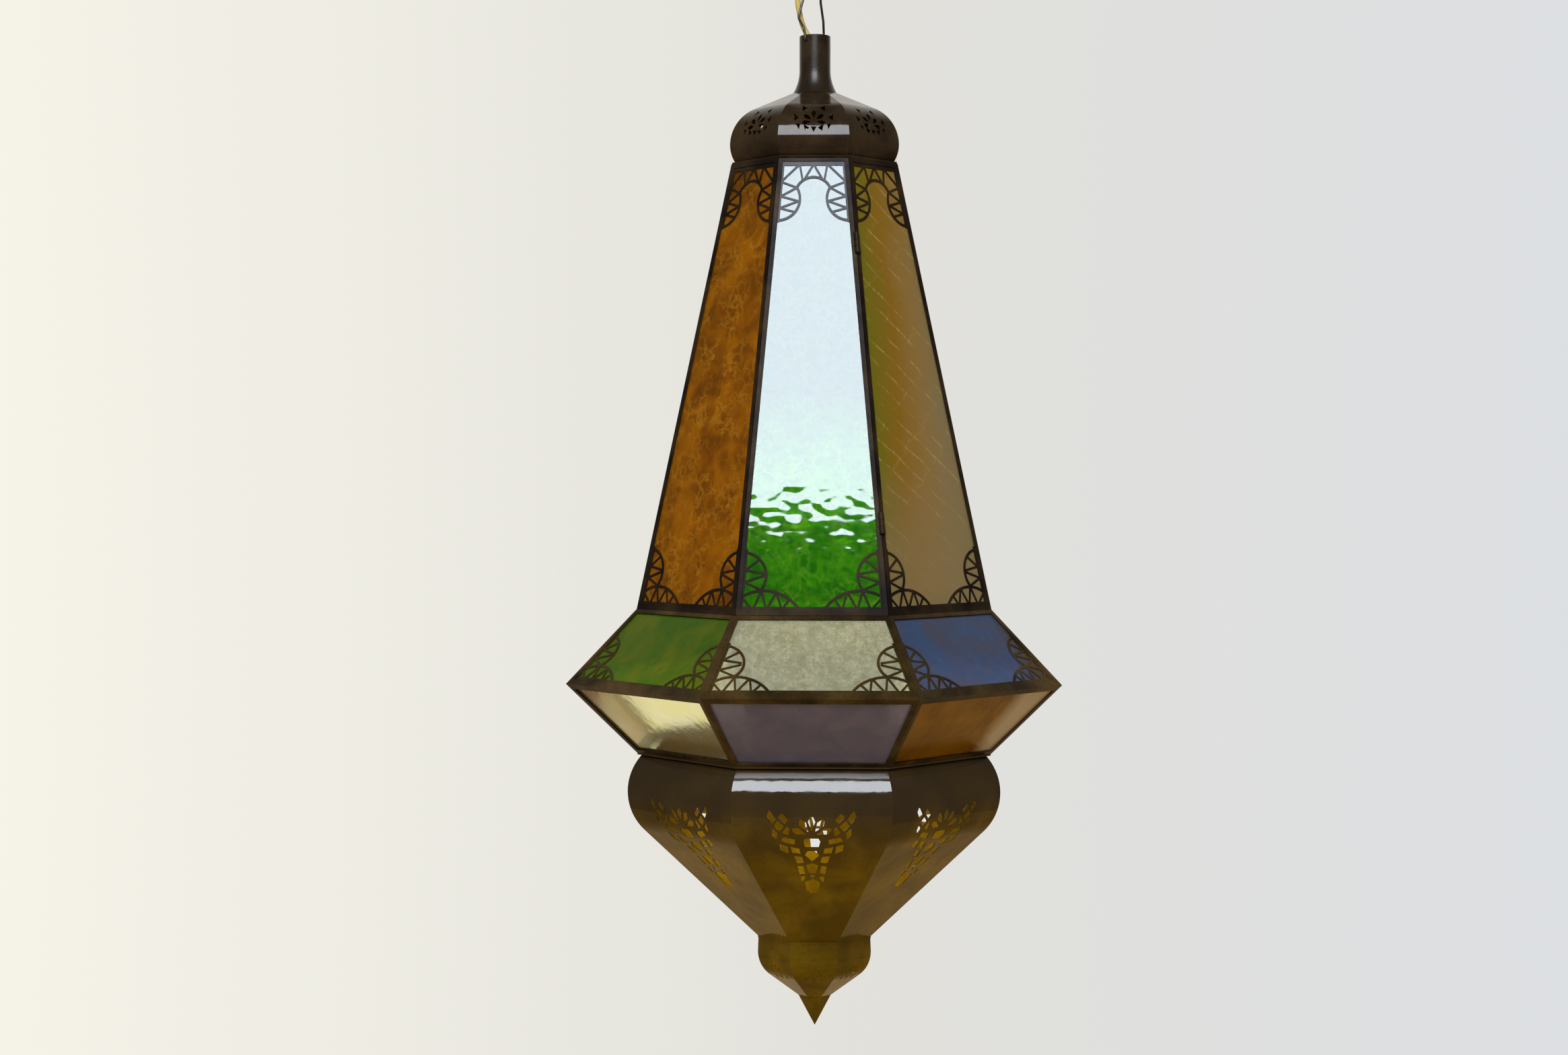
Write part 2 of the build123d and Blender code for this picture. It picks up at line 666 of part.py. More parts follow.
def lampholder_body():
    lip = HOLDER_FOOT - 6
    return turned([(HOLDER_R - 0.2, CORE_TOP), (HOLDER_R - 0.2, lip - 8), (HOLDER_R + 1.4, lip - 7),
                   (HOLDER_R + 1.4, lip - 5), (HOLDER_R - 0.2, lip - 4), (HOLDER_R - 0.2, lip),
                   (HOLDER_R + 0.8, lip + 1), (HOLDER_R + 0.8, HOLDER_FOOT - 1),
                   (HOLDER_R, HOLDER_FOOT), (14.6, HOLDER_FOOT), (14.6, CORE_TOP + 8),
                   (15.6, CORE_TOP + 8), (15.6, CORE_TOP)])


THREAD_TOP = CORE_TOP + 8.2


def bulb_cap():
    """Screw shell of the bulb, rolled into thread crests, with its centre contact."""
    top, foot, crests = THREAD_TOP + 4.0, HOLDER_FOOT - 1.5, 5
    pitch = (foot - top - 4) / crests
    profile = [(0, top - 1.6), (3.4, top - 1.6), (4.4, top), (8.5, top), (11.6, top + 2.4)]
    for i in range(crests):
        base = top + 2.6 + i * pitch
        profile += [(12.4, base), (SCREW_R, base + pitch * 0.35), (SCREW_R, base + pitch * 0.6)]
    profile += [(12.4, foot - 1.2), (12.4, foot), (11.2, foot), (11.2, top + 4.0), (0, top + 4.0)]
    return turned(profile)


def bulb_glass():
    """Pear-shaped shell, open at the neck where it is cemented into the screw shell."""
    neck_top, neck_foot = HOLDER_FOOT - 9.0, HOLDER_FOOT + 6.0
    centre = HOLDER_FOOT + 46.0

    def skin(inset):
        ball = BULB_R - inset
        join = math.radians(48)
        side = Line((11.0 - inset, z_at(neck_top)), (11.0 - inset, z_at(neck_foot)))
        on_ball = (ball * math.cos(join), z_at(centre - ball * math.sin(join)))
        flare = Line(side @ 1, on_ball)
        dome = ThreePointArc(on_ball, (ball * math.cos(0.3), z_at(centre + ball * math.sin(0.3))),
                             (0, z_at(centre + ball)))
        return [side, flare, dome]

    outer, inner = skin(0), skin(1.0)
    caps = [Line(outer[0] @ 0, inner[0] @ 0), Line(outer[2] @ 1, inner[2] @ 1)]
    return revolve(Plane.XZ * make_face(outer + inner + caps), Axis.Z)


# ------------------------------------------------------------------ the nodes
def build_nodes():
    nodes = {}
    nodes["hanging_bail"] = bail()
    nodes["flex_upper"] = flex_tube(FLEX_UPPER_ROUTE)
    nodes["flex_connector"] = flex_connector()
    nodes["connector_screws"] = connector_screws()
    nodes["flex_tie"] = flex_tie()

    nodes["neck_tube"] = neck_tube()
    nodes["dome_gores"] = ring_of(pierced(gore(dome_path()), dome_holes()))
    nodes["dome_seat_ring"] = seat_ring()

    notches = hinge_notches()
    frame = panel_frame(0)
    fixed = [around(frame, i) for i in range(1, SIDES)]
    fixed[0] = fixed[0] - notches
    nodes["taper_frames"] = Compound(children=fixed)
    nodes["shoulder_frames"] = ring_of(panel_frame(1))
    nodes["skirt_frames"] = ring_of(panel_frame(2))
    for tier, name in enumerate(("taper", "shoulder", "skirt")):
        glass = pane(tier)
        for i in range(SIDES):
            if tier or i:
                nodes[f"{name}_glass_{i}"] = around(glass, i)
    head, foot = head_overlay(0), foot_overlay(0)
    nodes["taper_filigree"] = Compound(children=[around(sheet, i) for i in range(1, SIDES)
                                                 for sheet in (head, foot)])
    nodes["shoulder_filigree"] = ring_of(foot_overlay(1))

    nodes["door_frame"] = panel_frame(0, door=True) - notches
    nodes["door_glass"] = pane(0)
    nodes["door_head_filigree"] = head
    nodes["door_foot_filigree"] = foot
    nodes["door_knuckles"] = door_knuckles()
    nodes["casing_knuckles"] = casing_knuckles()
    nodes["hinge_pins"] = hinge_pins()

    nodes["bowl_top_ring"] = flat_ring(126.0, 138.6, SKIRT_FOOT[1], SKIRT_FOOT[1] + 1.5)
    nodes["bowl_gores"] = ring_of(pierced(gore(bowl_path()), bowl_holes()))
    nodes["bowl_foot_ring"] = flat_ring(34.0, 45.4, 723.05, 724.55)
    nodes["finial_gores"] = ring_of(pierced(gore(finial_path()), finial_holes()))
    nodes["finial_tip"] = finial_tip()

    nodes["lamp_bracket"] = lamp_bracket()
    nodes["bracket_rivets"] = bracket_rivets()
    nodes["lamp_nipple"] = pipe(NIPPLE_R, NIPPLE_BORE_R, 96.5, 116.0)
    nodes["nipple_nuts"] = nipple_nuts()
    nodes["lampholder_cap"] = lampholder_cap()
    nodes["lampholder_body"] = lampholder_body()
    nodes["lampholder_core"] = rod(15.4, CORE_TOP, THREAD_TOP - 0.4)
    nodes["lampholder_thread"] = pipe(14.3, SCREW_BORE_R, THREAD_TOP, HOLDER_FOOT - 2)
    nodes["lampholder_contact"] = rod(3.5, THREAD_TOP - 0.4, THREAD_TOP + 2.1)
    nodes["flex_lower"] = flex_tube(FLEX_LOWER_ROUTE)
    nodes["bulb_cap"] = bulb_cap()
    nodes["bulb_glass"] = bulb_glass()
    return nodes


os.makedirs("parts", exist_ok=True)
for node_name, shape in build_nodes().items():
    export_step(shape, f"parts/{node_name}.step")
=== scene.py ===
import json
import math

import bpy
from mathutils import Matrix, Vector, noise


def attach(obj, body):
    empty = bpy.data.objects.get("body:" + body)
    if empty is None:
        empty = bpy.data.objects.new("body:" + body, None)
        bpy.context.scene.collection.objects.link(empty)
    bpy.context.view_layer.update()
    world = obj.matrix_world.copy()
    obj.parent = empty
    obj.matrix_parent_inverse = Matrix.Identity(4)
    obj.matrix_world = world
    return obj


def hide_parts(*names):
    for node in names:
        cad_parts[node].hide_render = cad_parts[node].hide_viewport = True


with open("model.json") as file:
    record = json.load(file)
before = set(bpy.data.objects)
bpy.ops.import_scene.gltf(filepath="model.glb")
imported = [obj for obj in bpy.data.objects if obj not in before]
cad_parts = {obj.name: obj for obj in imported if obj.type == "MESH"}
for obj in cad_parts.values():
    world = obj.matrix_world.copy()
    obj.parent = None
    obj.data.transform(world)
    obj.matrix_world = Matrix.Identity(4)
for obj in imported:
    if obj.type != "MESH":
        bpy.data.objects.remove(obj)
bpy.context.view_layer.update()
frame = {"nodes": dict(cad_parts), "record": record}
nodes = frame["nodes"]
scene = bpy.context.scene
slot_of = {row["node"]: row["material_slot"] for row in frame["record"]["subparts"]}

# The lantern hangs from the origin, +Z up, with its door facing -Y. Sides are numbered from the
# door's, 0, turning towards +X.
MM = 0.001
SIDES = 8
SECTOR = math.radians(360 / SIDES)
TAPER_HEAD_Z = -149                                 # millimetres, as the next
TAPER_HEAD_HALF = 27.3                              # half of a taper panel's width at its head
TAPER_LEAN = 73 / 352 * math.tan(SECTOR / 2)        # how fast that half grows downwards
FLOOR_Z = -2.2                                      # metres, as the next
FLOOR_RADIUS = 4.8


# ---------------------------------------------------------------- camera
cam_data = bpy.data.cameras.new("camera")
cam_data.lens = 49.1
cam_data.sensor_width = 36.0
cam_data.clip_start = 0.05
camera = bpy.data.objects.new("camera", cam_data)
scene.collection.objects.link(camera)
camera.location = (0.0282, -1.7309, -0.3998)
camera.rotation_euler = (math.radians(88.73), 0, math.radians(1.76))
scene.camera = camera
scene.view_settings.view_transform = "Standard"


# ---------------------------------------------------------------- node helpers
class Shader:
    """A material with one Principled shader, and short calls that add nodes to it."""

    def __init__(self, name, colour=(0.5, 0.5, 0.5), **sockets):
        self.material = bpy.data.materials.new(name)
        self.material.use_nodes = True
        self.tree = self.material.node_tree
        self.main = self.tree.nodes["Principled BSDF"]
        self.main.inputs["Base Color"].default_value = (*colour, 1)
        for key, value in sockets.items():
            self.main.inputs[key.replace("_", " ")].default_value = value
        self.place = None

    def node(self, kind, **settings):
        """A new node, with each setting given to its socket or its property of that name."""
        made = self.tree.nodes.new(kind)
        for key, value in settings.items():
            if key in made.inputs:
                made.inputs[key].default_value = value
            else:
                setattr(made, key, value)
        return made

    def link(self, out, into):
        self.tree.links.new(out, into)

    def coords(self):
        """Object coordinates in millimetres."""
        if self.place is None:
            self.place = self.node("ShaderNodeTexCoord").outputs["Object"]
        mapping = self.node("ShaderNodeMapping")
        mapping.inputs["Scale"].default_value = (1000, 1000, 1000)
        self.link(self.place, mapping.inputs["Vector"])
        return mapping.outputs["Vector"]

    def noise(self, size, detail=3.0, distort=0.0):
        """Noise whose features are about size millimetres across."""
        made = self.node("ShaderNodeTexNoise", Scale=1 / size, Detail=detail, Distortion=distort)
        self.link(self.coords(), made.inputs["Vector"])
        return made.outputs["Fac"]

    def cells(self, size, wander):
        """Distance to the edge of wandering cells of about size millimetres, in units of size."""
        place = self.coords()
        drift = self.node("ShaderNodeTexNoise", Scale=1.6 / size, Detail=2.0)
        self.link(place, drift.inputs["Vector"])
        moved = self.node("ShaderNodeVectorMath", operation="MULTIPLY_ADD")
        self.link(drift.outputs["Color"], moved.inputs[0])
        moved.inputs[1].default_value = (wander, wander, wander)
        self.link(place, moved.inputs[2])
        made = self.node("ShaderNodeTexVoronoi", feature="DISTANCE_TO_EDGE", Scale=1 / size)
        self.link(moved.outputs["Vector"], made.inputs["Vector"])
        return made.outputs["Distance"]

    def along(self, direction, span, start, wander, size):
        """(Place along direction + start) in spans, plus noise of size times wander."""
        dot = self.node("ShaderNodeVectorMath", operation="DOT_PRODUCT")
        self.link(self.coords(), dot.inputs[0])
        dot.inputs[1].default_value = direction
        spread = self.node("ShaderNodeMath", operation="MULTIPLY_ADD")
        self.link(dot.outputs["Value"], spread.inputs[0])
        spread.inputs[1].default_value = 1 / span
        spread.inputs[2].default_value = start / span
        drift = self.node("ShaderNodeMath", operation="MULTIPLY_ADD")
        self.link(self.noise(size), drift.inputs[0])
        drift.inputs[1].default_value = wander
        self.link(spread.outputs[0], drift.inputs[2])
        return drift.outputs[0]

    def height(self, low, high):
        """Object Z between two heights in millimetres, as 0 to 1."""
        split = self.node("ShaderNodeSeparateXYZ")
        self.link(self.coords(), split.inputs[0])
        fall = self.node("ShaderNodeMapRange")
        fall.inputs["From Min"].default_value = low
        fall.inputs["From Max"].default_value = high
        self.link(split.outputs["Z"], fall.inputs["Value"])
        return fall.outputs["Result"]

    def ramp(self, source, *stops):
        """Each stop is a place from 0 to 1 with a colour or a grey value."""
        made = self.node("ShaderNodeValToRGB")
        self.link(source, made.inputs["Fac"])
        set_stops(made, stops)
        return made.outputs["Color"]

    def mix(self, factor, a, b, blend="MIX"):
        made = self.node("ShaderNodeMix", data_type="RGBA", blend_type=blend)
        if isinstance(factor, (int, float)):
            made.inputs["Factor"].default_value = factor
        else:
            self.link(factor, made.inputs["Factor"])
        for socket, value in ((made.inputs[6], a), (made.inputs[7], b)):
            if isinstance(value, tuple):
                socket.default_value = (*value, 1)
            else:
                self.link(value, socket)
        return made.outputs[2]

    def into(self, socket, source):
        self.link(source, self.main.inputs[socket])

    def bump(self, height, distance, strength):
        """Bump from a height that is 1 at distance millimetres."""
        made = self.node("ShaderNodeBump", Distance=distance * MM, Strength=strength)
        self.link(height, made.inputs["Height"])
        self.into("Normal", made.outputs["Normal"])


def set_stops(ramp_node, stops):
    elements = ramp_node.color_ramp.elements
    while len(elements) < len(stops):
        elements.new(0.5)
    for element, (place, colour) in zip(elements, stops):
        element.position = place
        element.color = (*(colour if isinstance(colour, tuple) else (colour,) * 3), 1)


def paint(names, material):
    for name in names:
        mesh = nodes[name].data
        mesh.materials.clear()
        mesh.materials.append(material)


# ---------------------------------------------------------------- metal
def bronze(name, dark, light, rough, metallic, top=None, **more):
    """Clouded and specked patina. top = (low, high, tone) turns it to the darker tone towards its
    top, a painted shade.
    """
    s = Shader(name, dark, Metallic=metallic, **more)
    colour = s.mix(s.ramp(s.noise(38, 4, distort=0.4), (0.38, 0.0), (0.68, 1.0)), dark, light)
    # Painted shade: the colour turns to tone towards the top.
    if top:
        low, high, shade_tone = top
        colour = s.mix(s.ramp(s.height(low, high), (0.0, 0.0), (1.0, 0.85)), colour, shade_tone)
    stain = s.ramp(s.noise(2.2), (0.55, 0.0), (0.8, 0.6))
    s.into("Base Color", s.mix(stain, colour, tuple(c * 0.55 for c in dark)))
    s.into("Roughness", s.ramp(s.noise(9, 4), (0.3, rough[0]), (0.75, rough[1])))
    s.bump(s.noise(20), 0.5, 0.6)
    return s.material


# The bowl's upper part, from Z = -692 mm up, darkens with painted shade.
bowl_bronze = bronze("sheet_bronze", (0.085, 0.046, 0.001), (0.185, 0.104, 0.003),
                     (0.05, 0.12), 0.08, top=(-692, -645, (0.034, 0.022, 0.013)))
dome_bronze = bronze("dome_bronze", (0.022, 0.013, 0.007), (0.062, 0.038, 0.018),
                     (0.06, 0.14), 0.1, Specular_IOR_Level=0.28)
channel_bronze = bronze("channel_bronze", (0.015, 0.010, 0.008), (0.048, 0.030, 0.014),
                        (0.28, 0.4), 0.1, Specular_IOR_Level=0.04)
lacquer_bronze = bronze("lacquer_bronze", (0.012, 0.012, 0.016), (0.030, 0.026, 0.024),
                        (0.12, 0.3), 0.1, Specular_IOR_Level=0.14)
waist_bronze = bronze("waist_bronze", (0.030, 0.018, 0.006), (0.115, 0.068, 0.020),
                      (0.24, 0.36), 0.3, Specular_IOR_Level=0.12)
# The bevels' lighter colours are painted highlights along the frames' edges and along the waist's
# rim.
painted_edge_highlight = bronze("painted_edge_highlight", (0.05, 0.04, 0.036), (0.13, 0.105, 0.09), (0.2, 0.34), 0.7)
# Painted highlight: the pale colour of the waist rim's bevels.
painted_rim_highlight = bronze("painted_rim_highlight", (0.20, 0.16, 0.14), (0.45, 0.37, 0.30), (0.2, 0.34), 0.7)
neck_bronze = bronze("neck_bronze", (0.022, 0.014, 0.008), (0.062, 0.040, 0.020),
                     (0.26, 0.36), 0.2, Specular_IOR_Level=0.4)
paint(["bowl_gores", "finial_gores", "finial_tip", "bowl_top_ring", "bowl_foot_ring"],
      bowl_bronze)
paint(["dome_gores", "dome_seat_ring"], dome_bronze)
paint(["neck_tube"], neck_bronze)
paint(["taper_frames", "taper_filigree", "door_frame", "door_foot_filigree",
       "door_knuckles", "casing_knuckles", "hinge_pins"], channel_bronze)
paint(["door_head_filigree"], lacquer_bronze)
paint(["shoulder_frames", "skirt_frames", "shoulder_filigree"], waist_bronze)


# ---------------------------------------------------------------- other plain materials
def plain(name, colour, rough, metallic=0.0, grain=0.0, size=6.0):
    """One colour with faint clouds of size and, if asked, a fine grain, in millimetres."""
    s = Shader(name, colour, Metallic=metallic)
    cloud = s.ramp(s.noise(size, 4), (0.35, 0.0), (0.7, 1.0))
    s.into("Base Color", s.mix(cloud, colour, tuple(c * 0.8 for c in colour)))
    s.into("Roughness", s.ramp(s.noise(size * 0.4), (0.3, rough * 0.8), (0.7, rough * 1.2)))
    if grain:
        s.bump(s.noise(grain), 0.05, 0.5)
    return s.material


paint(["hanging_bail"], plain("bail_wire", (0.17, 0.15, 0.13), 0.38, 1.0, 1.5))
paint(["lamp_bracket", "bracket_rivets", "lamp_nipple", "nipple_nuts", "connector_screws"],
      plain("zinc_steel", (0.55, 0.55, 0.53), 0.33, 1.0, 2.0))
paint(["flex_connector", "flex_tie"], plain("white_plastic", (0.78, 0.76, 0.70), 0.3))
paint(["lampholder_cap", "lampholder_body"], plain("black_plastic", (0.02, 0.018, 0.017), 0.35))
paint(["lampholder_core"], plain("ceramic", (0.75, 0.73, 0.68), 0.2))
paint(["lampholder_thread", "lampholder_contact"], plain("brass", (0.7, 0.5, 0.2), 0.3, 1.0))
paint(["bulb_cap"], plain("aluminium", (0.7, 0.7, 0.7), 0.28, 1.0))
bulb = Shader("bulb_clear", (0.98, 0.98, 0.97), Roughness=0.02, IOR=1.45, Transmission_Weight=1.0)
paint(["bulb_glass"], bulb.material)


# ---------------------------------------------------------------- flex
flex_pvc = plain("yellow_pvc", (0.78, 0.60, 0.16), 0.35)


def flex(name, body, points):
    """A smooth flex guided by points in millimetres, in place of its CAD node."""
    curve = bpy.data.curves.new(name, "CURVE")
    curve.dimensions = "3D"
    curve.bevel_depth = 2.25 * MM
    curve.bevel_resolution = 5
    curve.use_fill_caps = True
    spline = curve.splines.new("NURBS")
    spline.points.add(len(points) - 1)
    for point, (x, y, z) in zip(spline.points, points):
        point.co = (x * MM, y * MM, z * MM, 1)
    spline.order_u = 3
    spline.use_endpoint_u = True
    spline.resolution_u = 16
    piece = bpy.data.objects.new(name + "_cord", curve)
    scene.collection.objects.link(piece)
    piece.data.materials.append(flex_pvc)
    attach(piece, body)
    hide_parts(name)
    return piece


upper = flex("flex_upper", "hanger", [(-3.2, 1.85, -47.5), (-5.2, 2.1, -42), (-9.3, 2.2, -35),
                                      (-11.8, 1.2, -27), (-14.0, -0.8, -15.5),
                                      (-13.7, -1.8, -8), (-14.7, -1.8, 4.5)])
lower = flex("flex_lower", "lantern", [(-3.2, 1.85, -50.1), (-3.1, 1.8, -65), (-0.4, 0.6, -91),
                                       (0, 0, -121), (0.02, 0, -167.2)])


# ---------------------------------------------------------------- relief of the panes
# Each kind gives the height of a pane's face, in millimetres, at x and y millimetres along it.
RIDGE_X, RIDGE_Y = 0.61, 0.79       # direction across the ridges of a ridged pane
RIDGE_GAP = 13
CROSS_GAP = 27                      # the same for the fainter set that crosses them


def swell(x, y, seed, wide, tall):
    return noise.noise(Vector((x / wide, y / tall, seed)))


def nearest(x, y, seed, wide, tall):
    """Distances to the nearest of some scattered points, the nearest first."""
    distances, _ = noise.voronoi(Vector((x / wide, y / tall, seed)), distance_metric="DISTANCE")
    return distances


def ripples(x, y, seed):
    """Gentle waves of drawn glass, wider than they are tall."""
    return 0.06 * swell(x, y, seed, 9, 5.5) + 0.012 * swell(x, y, seed + 7, 4.5, 3)


def crackle(x, y, seed):
    """Raised veins that bound uneven cells."""
    near = nearest(x, y, seed, 17, 24)
    fine = nearest(x, y, seed + 3, 7, 8)
    vein = max(0.0, 1 - (near[1] - near[0]) / 0.13)
    hair = max(0.0, 1 - (fine[1] - fine[0]) / 0.2)
    return 0.12 * vein + 0.05 * hair + 0.05 * swell(x, y, seed, 12, 12)


def ridged(x, y, seed):
    """Slanting grooves crossed by a fainter set."""
    wander = 0.3 * swell(x, y, seed, 30, 30)
    first = abs(math.sin(math.pi * ((x * RIDGE_X + y * RIDGE_Y) / RIDGE_GAP + wander)))
    second = abs(math.sin(math.pi * ((x * RIDGE_X - y * RIDGE_Y) / CROSS_GAP + wander)))
    return -0.07 * (1 - first) ** 4 - 0.04 * (1 - second) ** 4 + 0.03 * swell(x, y, seed, 4, 4)


def hammered(x, y, seed):
    """Small dimples side by side."""
    return 0.2 * min(nearest(x, y, seed, 4.2, 4.2)[0], 0.75)


def seedy(x, y, seed):
    """Fine orange-peel surface."""
    return 0.05 * swell(x, y, seed, 5, 5) + 0.02 * swell(x, y, seed + 5, 2.4, 2.4)


# ---------------------------------------------------------------- shape of the panes
PANE_CLEARANCE = 0.12 * MM      # how far a face with relief stays inside the CAD pane's face
BACK_SEED = 90                  # sets the inner face's relief apart from the outer face's


def pane_corners(node, side):
    """Outer corners of a pane as turned to the front, its thickness and its outward normal."""
    turn = Matrix.Rotation(-side * SECTOR, 3, "Z")
    points = [turn @ v.co for v in nodes[node].data.vertices]
    outward = [p for p in nodes[node].data.polygons if (turn @ p.normal).y < -0.1]
    normal = turn @ max(outward, key=lambda p: p.area).normal
    top = max(p.dot(normal) for p in points)
    low = min(p.dot(normal) for p in points)
    face = [p for p in points if p.dot(normal) > top - 1e-5]
    middle = sum(p.z for p in face) / len(face)
    foot = sorted((p for p in face if p.z < middle), key=lambda p: p.x)
    head = sorted((p for p in face if p.z >= middle), key=lambda p: p.x)
    return (foot[0], foot[-1], head[0], head[-1]), top - low, normal


def pane(node, side, body, material, relief, step):
    """A pane in place of its CAD node, with relief on both faces in steps of step metres."""
    (foot_left, foot_right, head_left, head_right), thick, normal = pane_corners(node, side)
    tall = (head_left - foot_left).length
    wide = max((foot_right - foot_left).length, (head_right - head_left).length)
    rows, cols = max(2, round(tall / step)), max(2, round(wide / step))
    seed = 11.3 * side + 37.7 * len(node)
    verts = []
    for layer in (0, 1):
        for r in range(rows + 1):
            left = foot_left.lerp(head_left, r / rows)
            right = foot_right.lerp(head_right, r / rows)
            for c in range(cols + 1):
                at = left.lerp(right, c / cols)
                x, y = at.x / MM, (at.z - foot_left.z) / MM
                bump = relief(x, y, seed + BACK_SEED * layer) * MM
                on_edge = r in (0, rows) or c in (0, cols)
                if layer == 0:
                    shift = -PANE_CLEARANCE if on_edge else -PANE_CLEARANCE - bump
                else:
                    shift = -thick if on_edge else -thick + PANE_CLEARANCE + abs(bump)
                verts.append(at + normal * shift)
    back = (rows + 1) * (cols + 1)      # where the inner face's points start
    faces = []
    for r in range(rows):
        for c in range(cols):
            a = r * (cols + 1) + c
            faces.append((a, a + 1, a + cols + 2, a + cols + 1))
            faces.append((back + a + cols + 1, back + a + cols + 2, back + a + 1, back + a))
    border = list(range(cols)) + [r * (cols + 1) + cols for r in range(rows)]
    border += [rows * (cols + 1) + c for c in range(cols, 0, -1)]
    border += [r * (cols + 1) for r in range(rows, 0, -1)]
    for a, b in zip(border, border[1:] + border[:1]):
        faces.append((b, a, back + a, back + b))
    turn = Matrix.Rotation(side * SECTOR, 3, "Z")
    mesh = bpy.data.meshes.new(node)
    mesh.from_pydata([turn @ v for v in verts], [], faces)
    mesh.polygons.foreach_set("use_smooth", [True] * len(faces))
    mesh.set_sharp_from_angle(angle=math.radians(50))
    mesh.materials.append(material)
    mesh.validate()
    piece = bpy.data.objects.new(node + "_relief", mesh)
    scene.collection.objects.link(piece)
    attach(piece, body)
    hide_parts(node)


# ---------------------------------------------------------------- glass
def glass(name, colour, second, rough=0.12, size=30.0, clear=0.5, veins=None, head=None,
          grain=2.0, third=None, ior=1.5, **more):
    """Coloured glass that scatters part of the light.

    size is the clouds' size and grain the fine bump's, in millimetres. veins = (colour, cell,
    width) draws broken veins. head = (dim, top, foot) is painted shade, darkening the glass by
    dim at Z = top and not at all at Z = foot. third = (colour, side, start) turns it to a third
    colour across a side.
    """
    s = Shader(name, colour, Roughness=rough, IOR=ior, Transmission_Weight=clear, **more)
    cloud = s.ramp(s.noise(size, 4, distort=0.6), (0.36, 0.0), (0.64, 1.0))
    tint = s.mix(cloud, colour, second)
    if veins:
        vein, cell, width = veins
        line = s.ramp(s.cells(cell, cell * 1.3), (0.0, 0.8), (width, 0.3), (width * 3.5, 0.0))
        fade = s.ramp(s.noise(cell * 1.6), (0.4, 0.0), (0.62, 1.0))
        tint = s.mix(s.mix(1.0, line, fade, "MULTIPLY"), tint, vein)
    # Painted shade: the glass darkens towards its head.
    if head:
        dim, top, foot = head
        tint = s.mix(1.0, tint, s.ramp(s.height(top, foot), (0.0, dim), (1.0, 1.0)), "MULTIPLY")
    if third:
        other, side, start = third
        turn = side * SECTOR
        reach = s.along((math.cos(turn), math.sin(turn), 0), 100, 0, 0.15, 30)
        tint = s.mix(s.ramp(reach, (start, 0.0), (start + 0.16, 1.0)), tint, other)
    s.into("Base Color", tint)
    if grain:
        s.bump(s.noise(grain, 2), 0.05, 0.5)
    return s.material


# Green glass; head gives it painted shade towards its top.
def green(name, head, **more):
    return glass(name, (0.012, 0.27, 0.0), (0.07, 0.44, 0.0), 0.03, 9, 0.6, head=head,
                 veins=((0.22, 0.60, 0.02), 10, 0.05), grain=0, **more)


def banded(name, colours, line_colour, side):
    """Glass whose colour changes in soft bands that run along its left rib, with fine slanting
    lines.
    """
    s = Shader(name, colours[0], Roughness=0.12, IOR=1.5, Transmission_Weight=0.45)
    across_x, across_y = math.cos(side * SECTOR), math.sin(side * SECTOR)
    rib = TAPER_HEAD_HALF + TAPER_HEAD_Z * TAPER_LEAN - 8
    band = s.along((across_x, across_y, -TAPER_LEAN), 100, rib, 0.3, 48)
    tint = s.ramp(band, *zip((0.1, 0.38, 0.62, 0.85), colours))
    for slope, gap, strength in ((RIDGE_Y, RIDGE_GAP, 0.85), (-RIDGE_Y, CROSS_GAP, 0.2)):
        fold = s.node("ShaderNodeMath", operation="PINGPONG")
        s.link(s.along((RIDGE_X * across_x, RIDGE_X * across_y, slope), gap, 0, 0.5, 26),
               fold.inputs[0])
        fold.inputs[1].default_value = 0.5
        line = s.ramp(fold.outputs[0], (0.0, strength), (0.04, strength * 0.3), (0.1, 0.0))
        broken = s.mix(1.0, s.ramp(s.noise(14), (0.42, 0.0), (0.6, 1.0)),
                       s.ramp(s.noise(2.6, 2), (0.38, 0.15), (0.58, 1.0)), "MULTIPLY")
        tint = s.mix(s.mix(1.0, line, broken, "MULTIPLY"), tint, line_colour)
    foot = s.along((0, 0, -1), 100, -400, 0.3, 40)
    tint = s.mix(s.ramp(foot, (0.0, 0.0), (0.7, 0.75)), tint, colours[-1])
    s.into("Base Color", tint)
    s.bump(s.noise(2.0, 2), 0.08, 0.5)
    return s.material


# Material and relief of each slot
GLASSES = {
    # The amber's head is painted shade, darkening its panes towards the top.
    "glass_amber": (glass("glass_amber", (0.31, 0.092, 0.0), (0.60, 0.205, 0.0), size=22,
                          veins=((0.80, 0.36, 0.02), 11, 0.05), head=(0.4, -105, -210),
                          Specular_IOR_Level=0.3), crackle),
    "glass_green": (green("glass_green", (0.5, -110, -330)), ripples),
    "glass_ridged": (banded("glass_ridged", [(0.29, 0.27, 0.012), (0.46, 0.25, 0.02),
                                               (0.50, 0.31, 0.08), (0.46, 0.34, 0.15)],
                              (0.92, 0.66, 0.24), 1), ridged),
    "glass_blue": (glass("glass_blue", (0.05, 0.09, 0.24), (0.08, 0.12, 0.30)), seedy),
    "glass_olive": (glass("glass_olive", (0.075, 0.20, 0.0), (0.17, 0.24, 0.0),
                          Specular_IOR_Level=0.2), seedy),
    "glass_hammered": (glass("glass_hammered", (0.54, 0.52, 0.31), (0.68, 0.66, 0.45), size=9,
                             veins=((1.0, 0.95, 0.62), 3.2, 0.1)), hammered),
    "glass_slate": (glass("glass_slate", (0.07, 0.135, 0.31), (0.12, 0.115, 0.20),
                          third=((0.13, 0.095, 0.055), 1, 0.55), Specular_IOR_Level=0.3), seedy),
    "glass_straw": (glass("glass_straw", (1.0, 0.98, 0.80), (0.98, 0.94, 0.60), clear=0.97,
                          ior=1.2), seedy),
    "glass_violet": (glass("glass_violet", (0.19, 0.17, 0.24), (0.25, 0.21, 0.27),
                           Specular_IOR_Level=0.3), seedy),
}
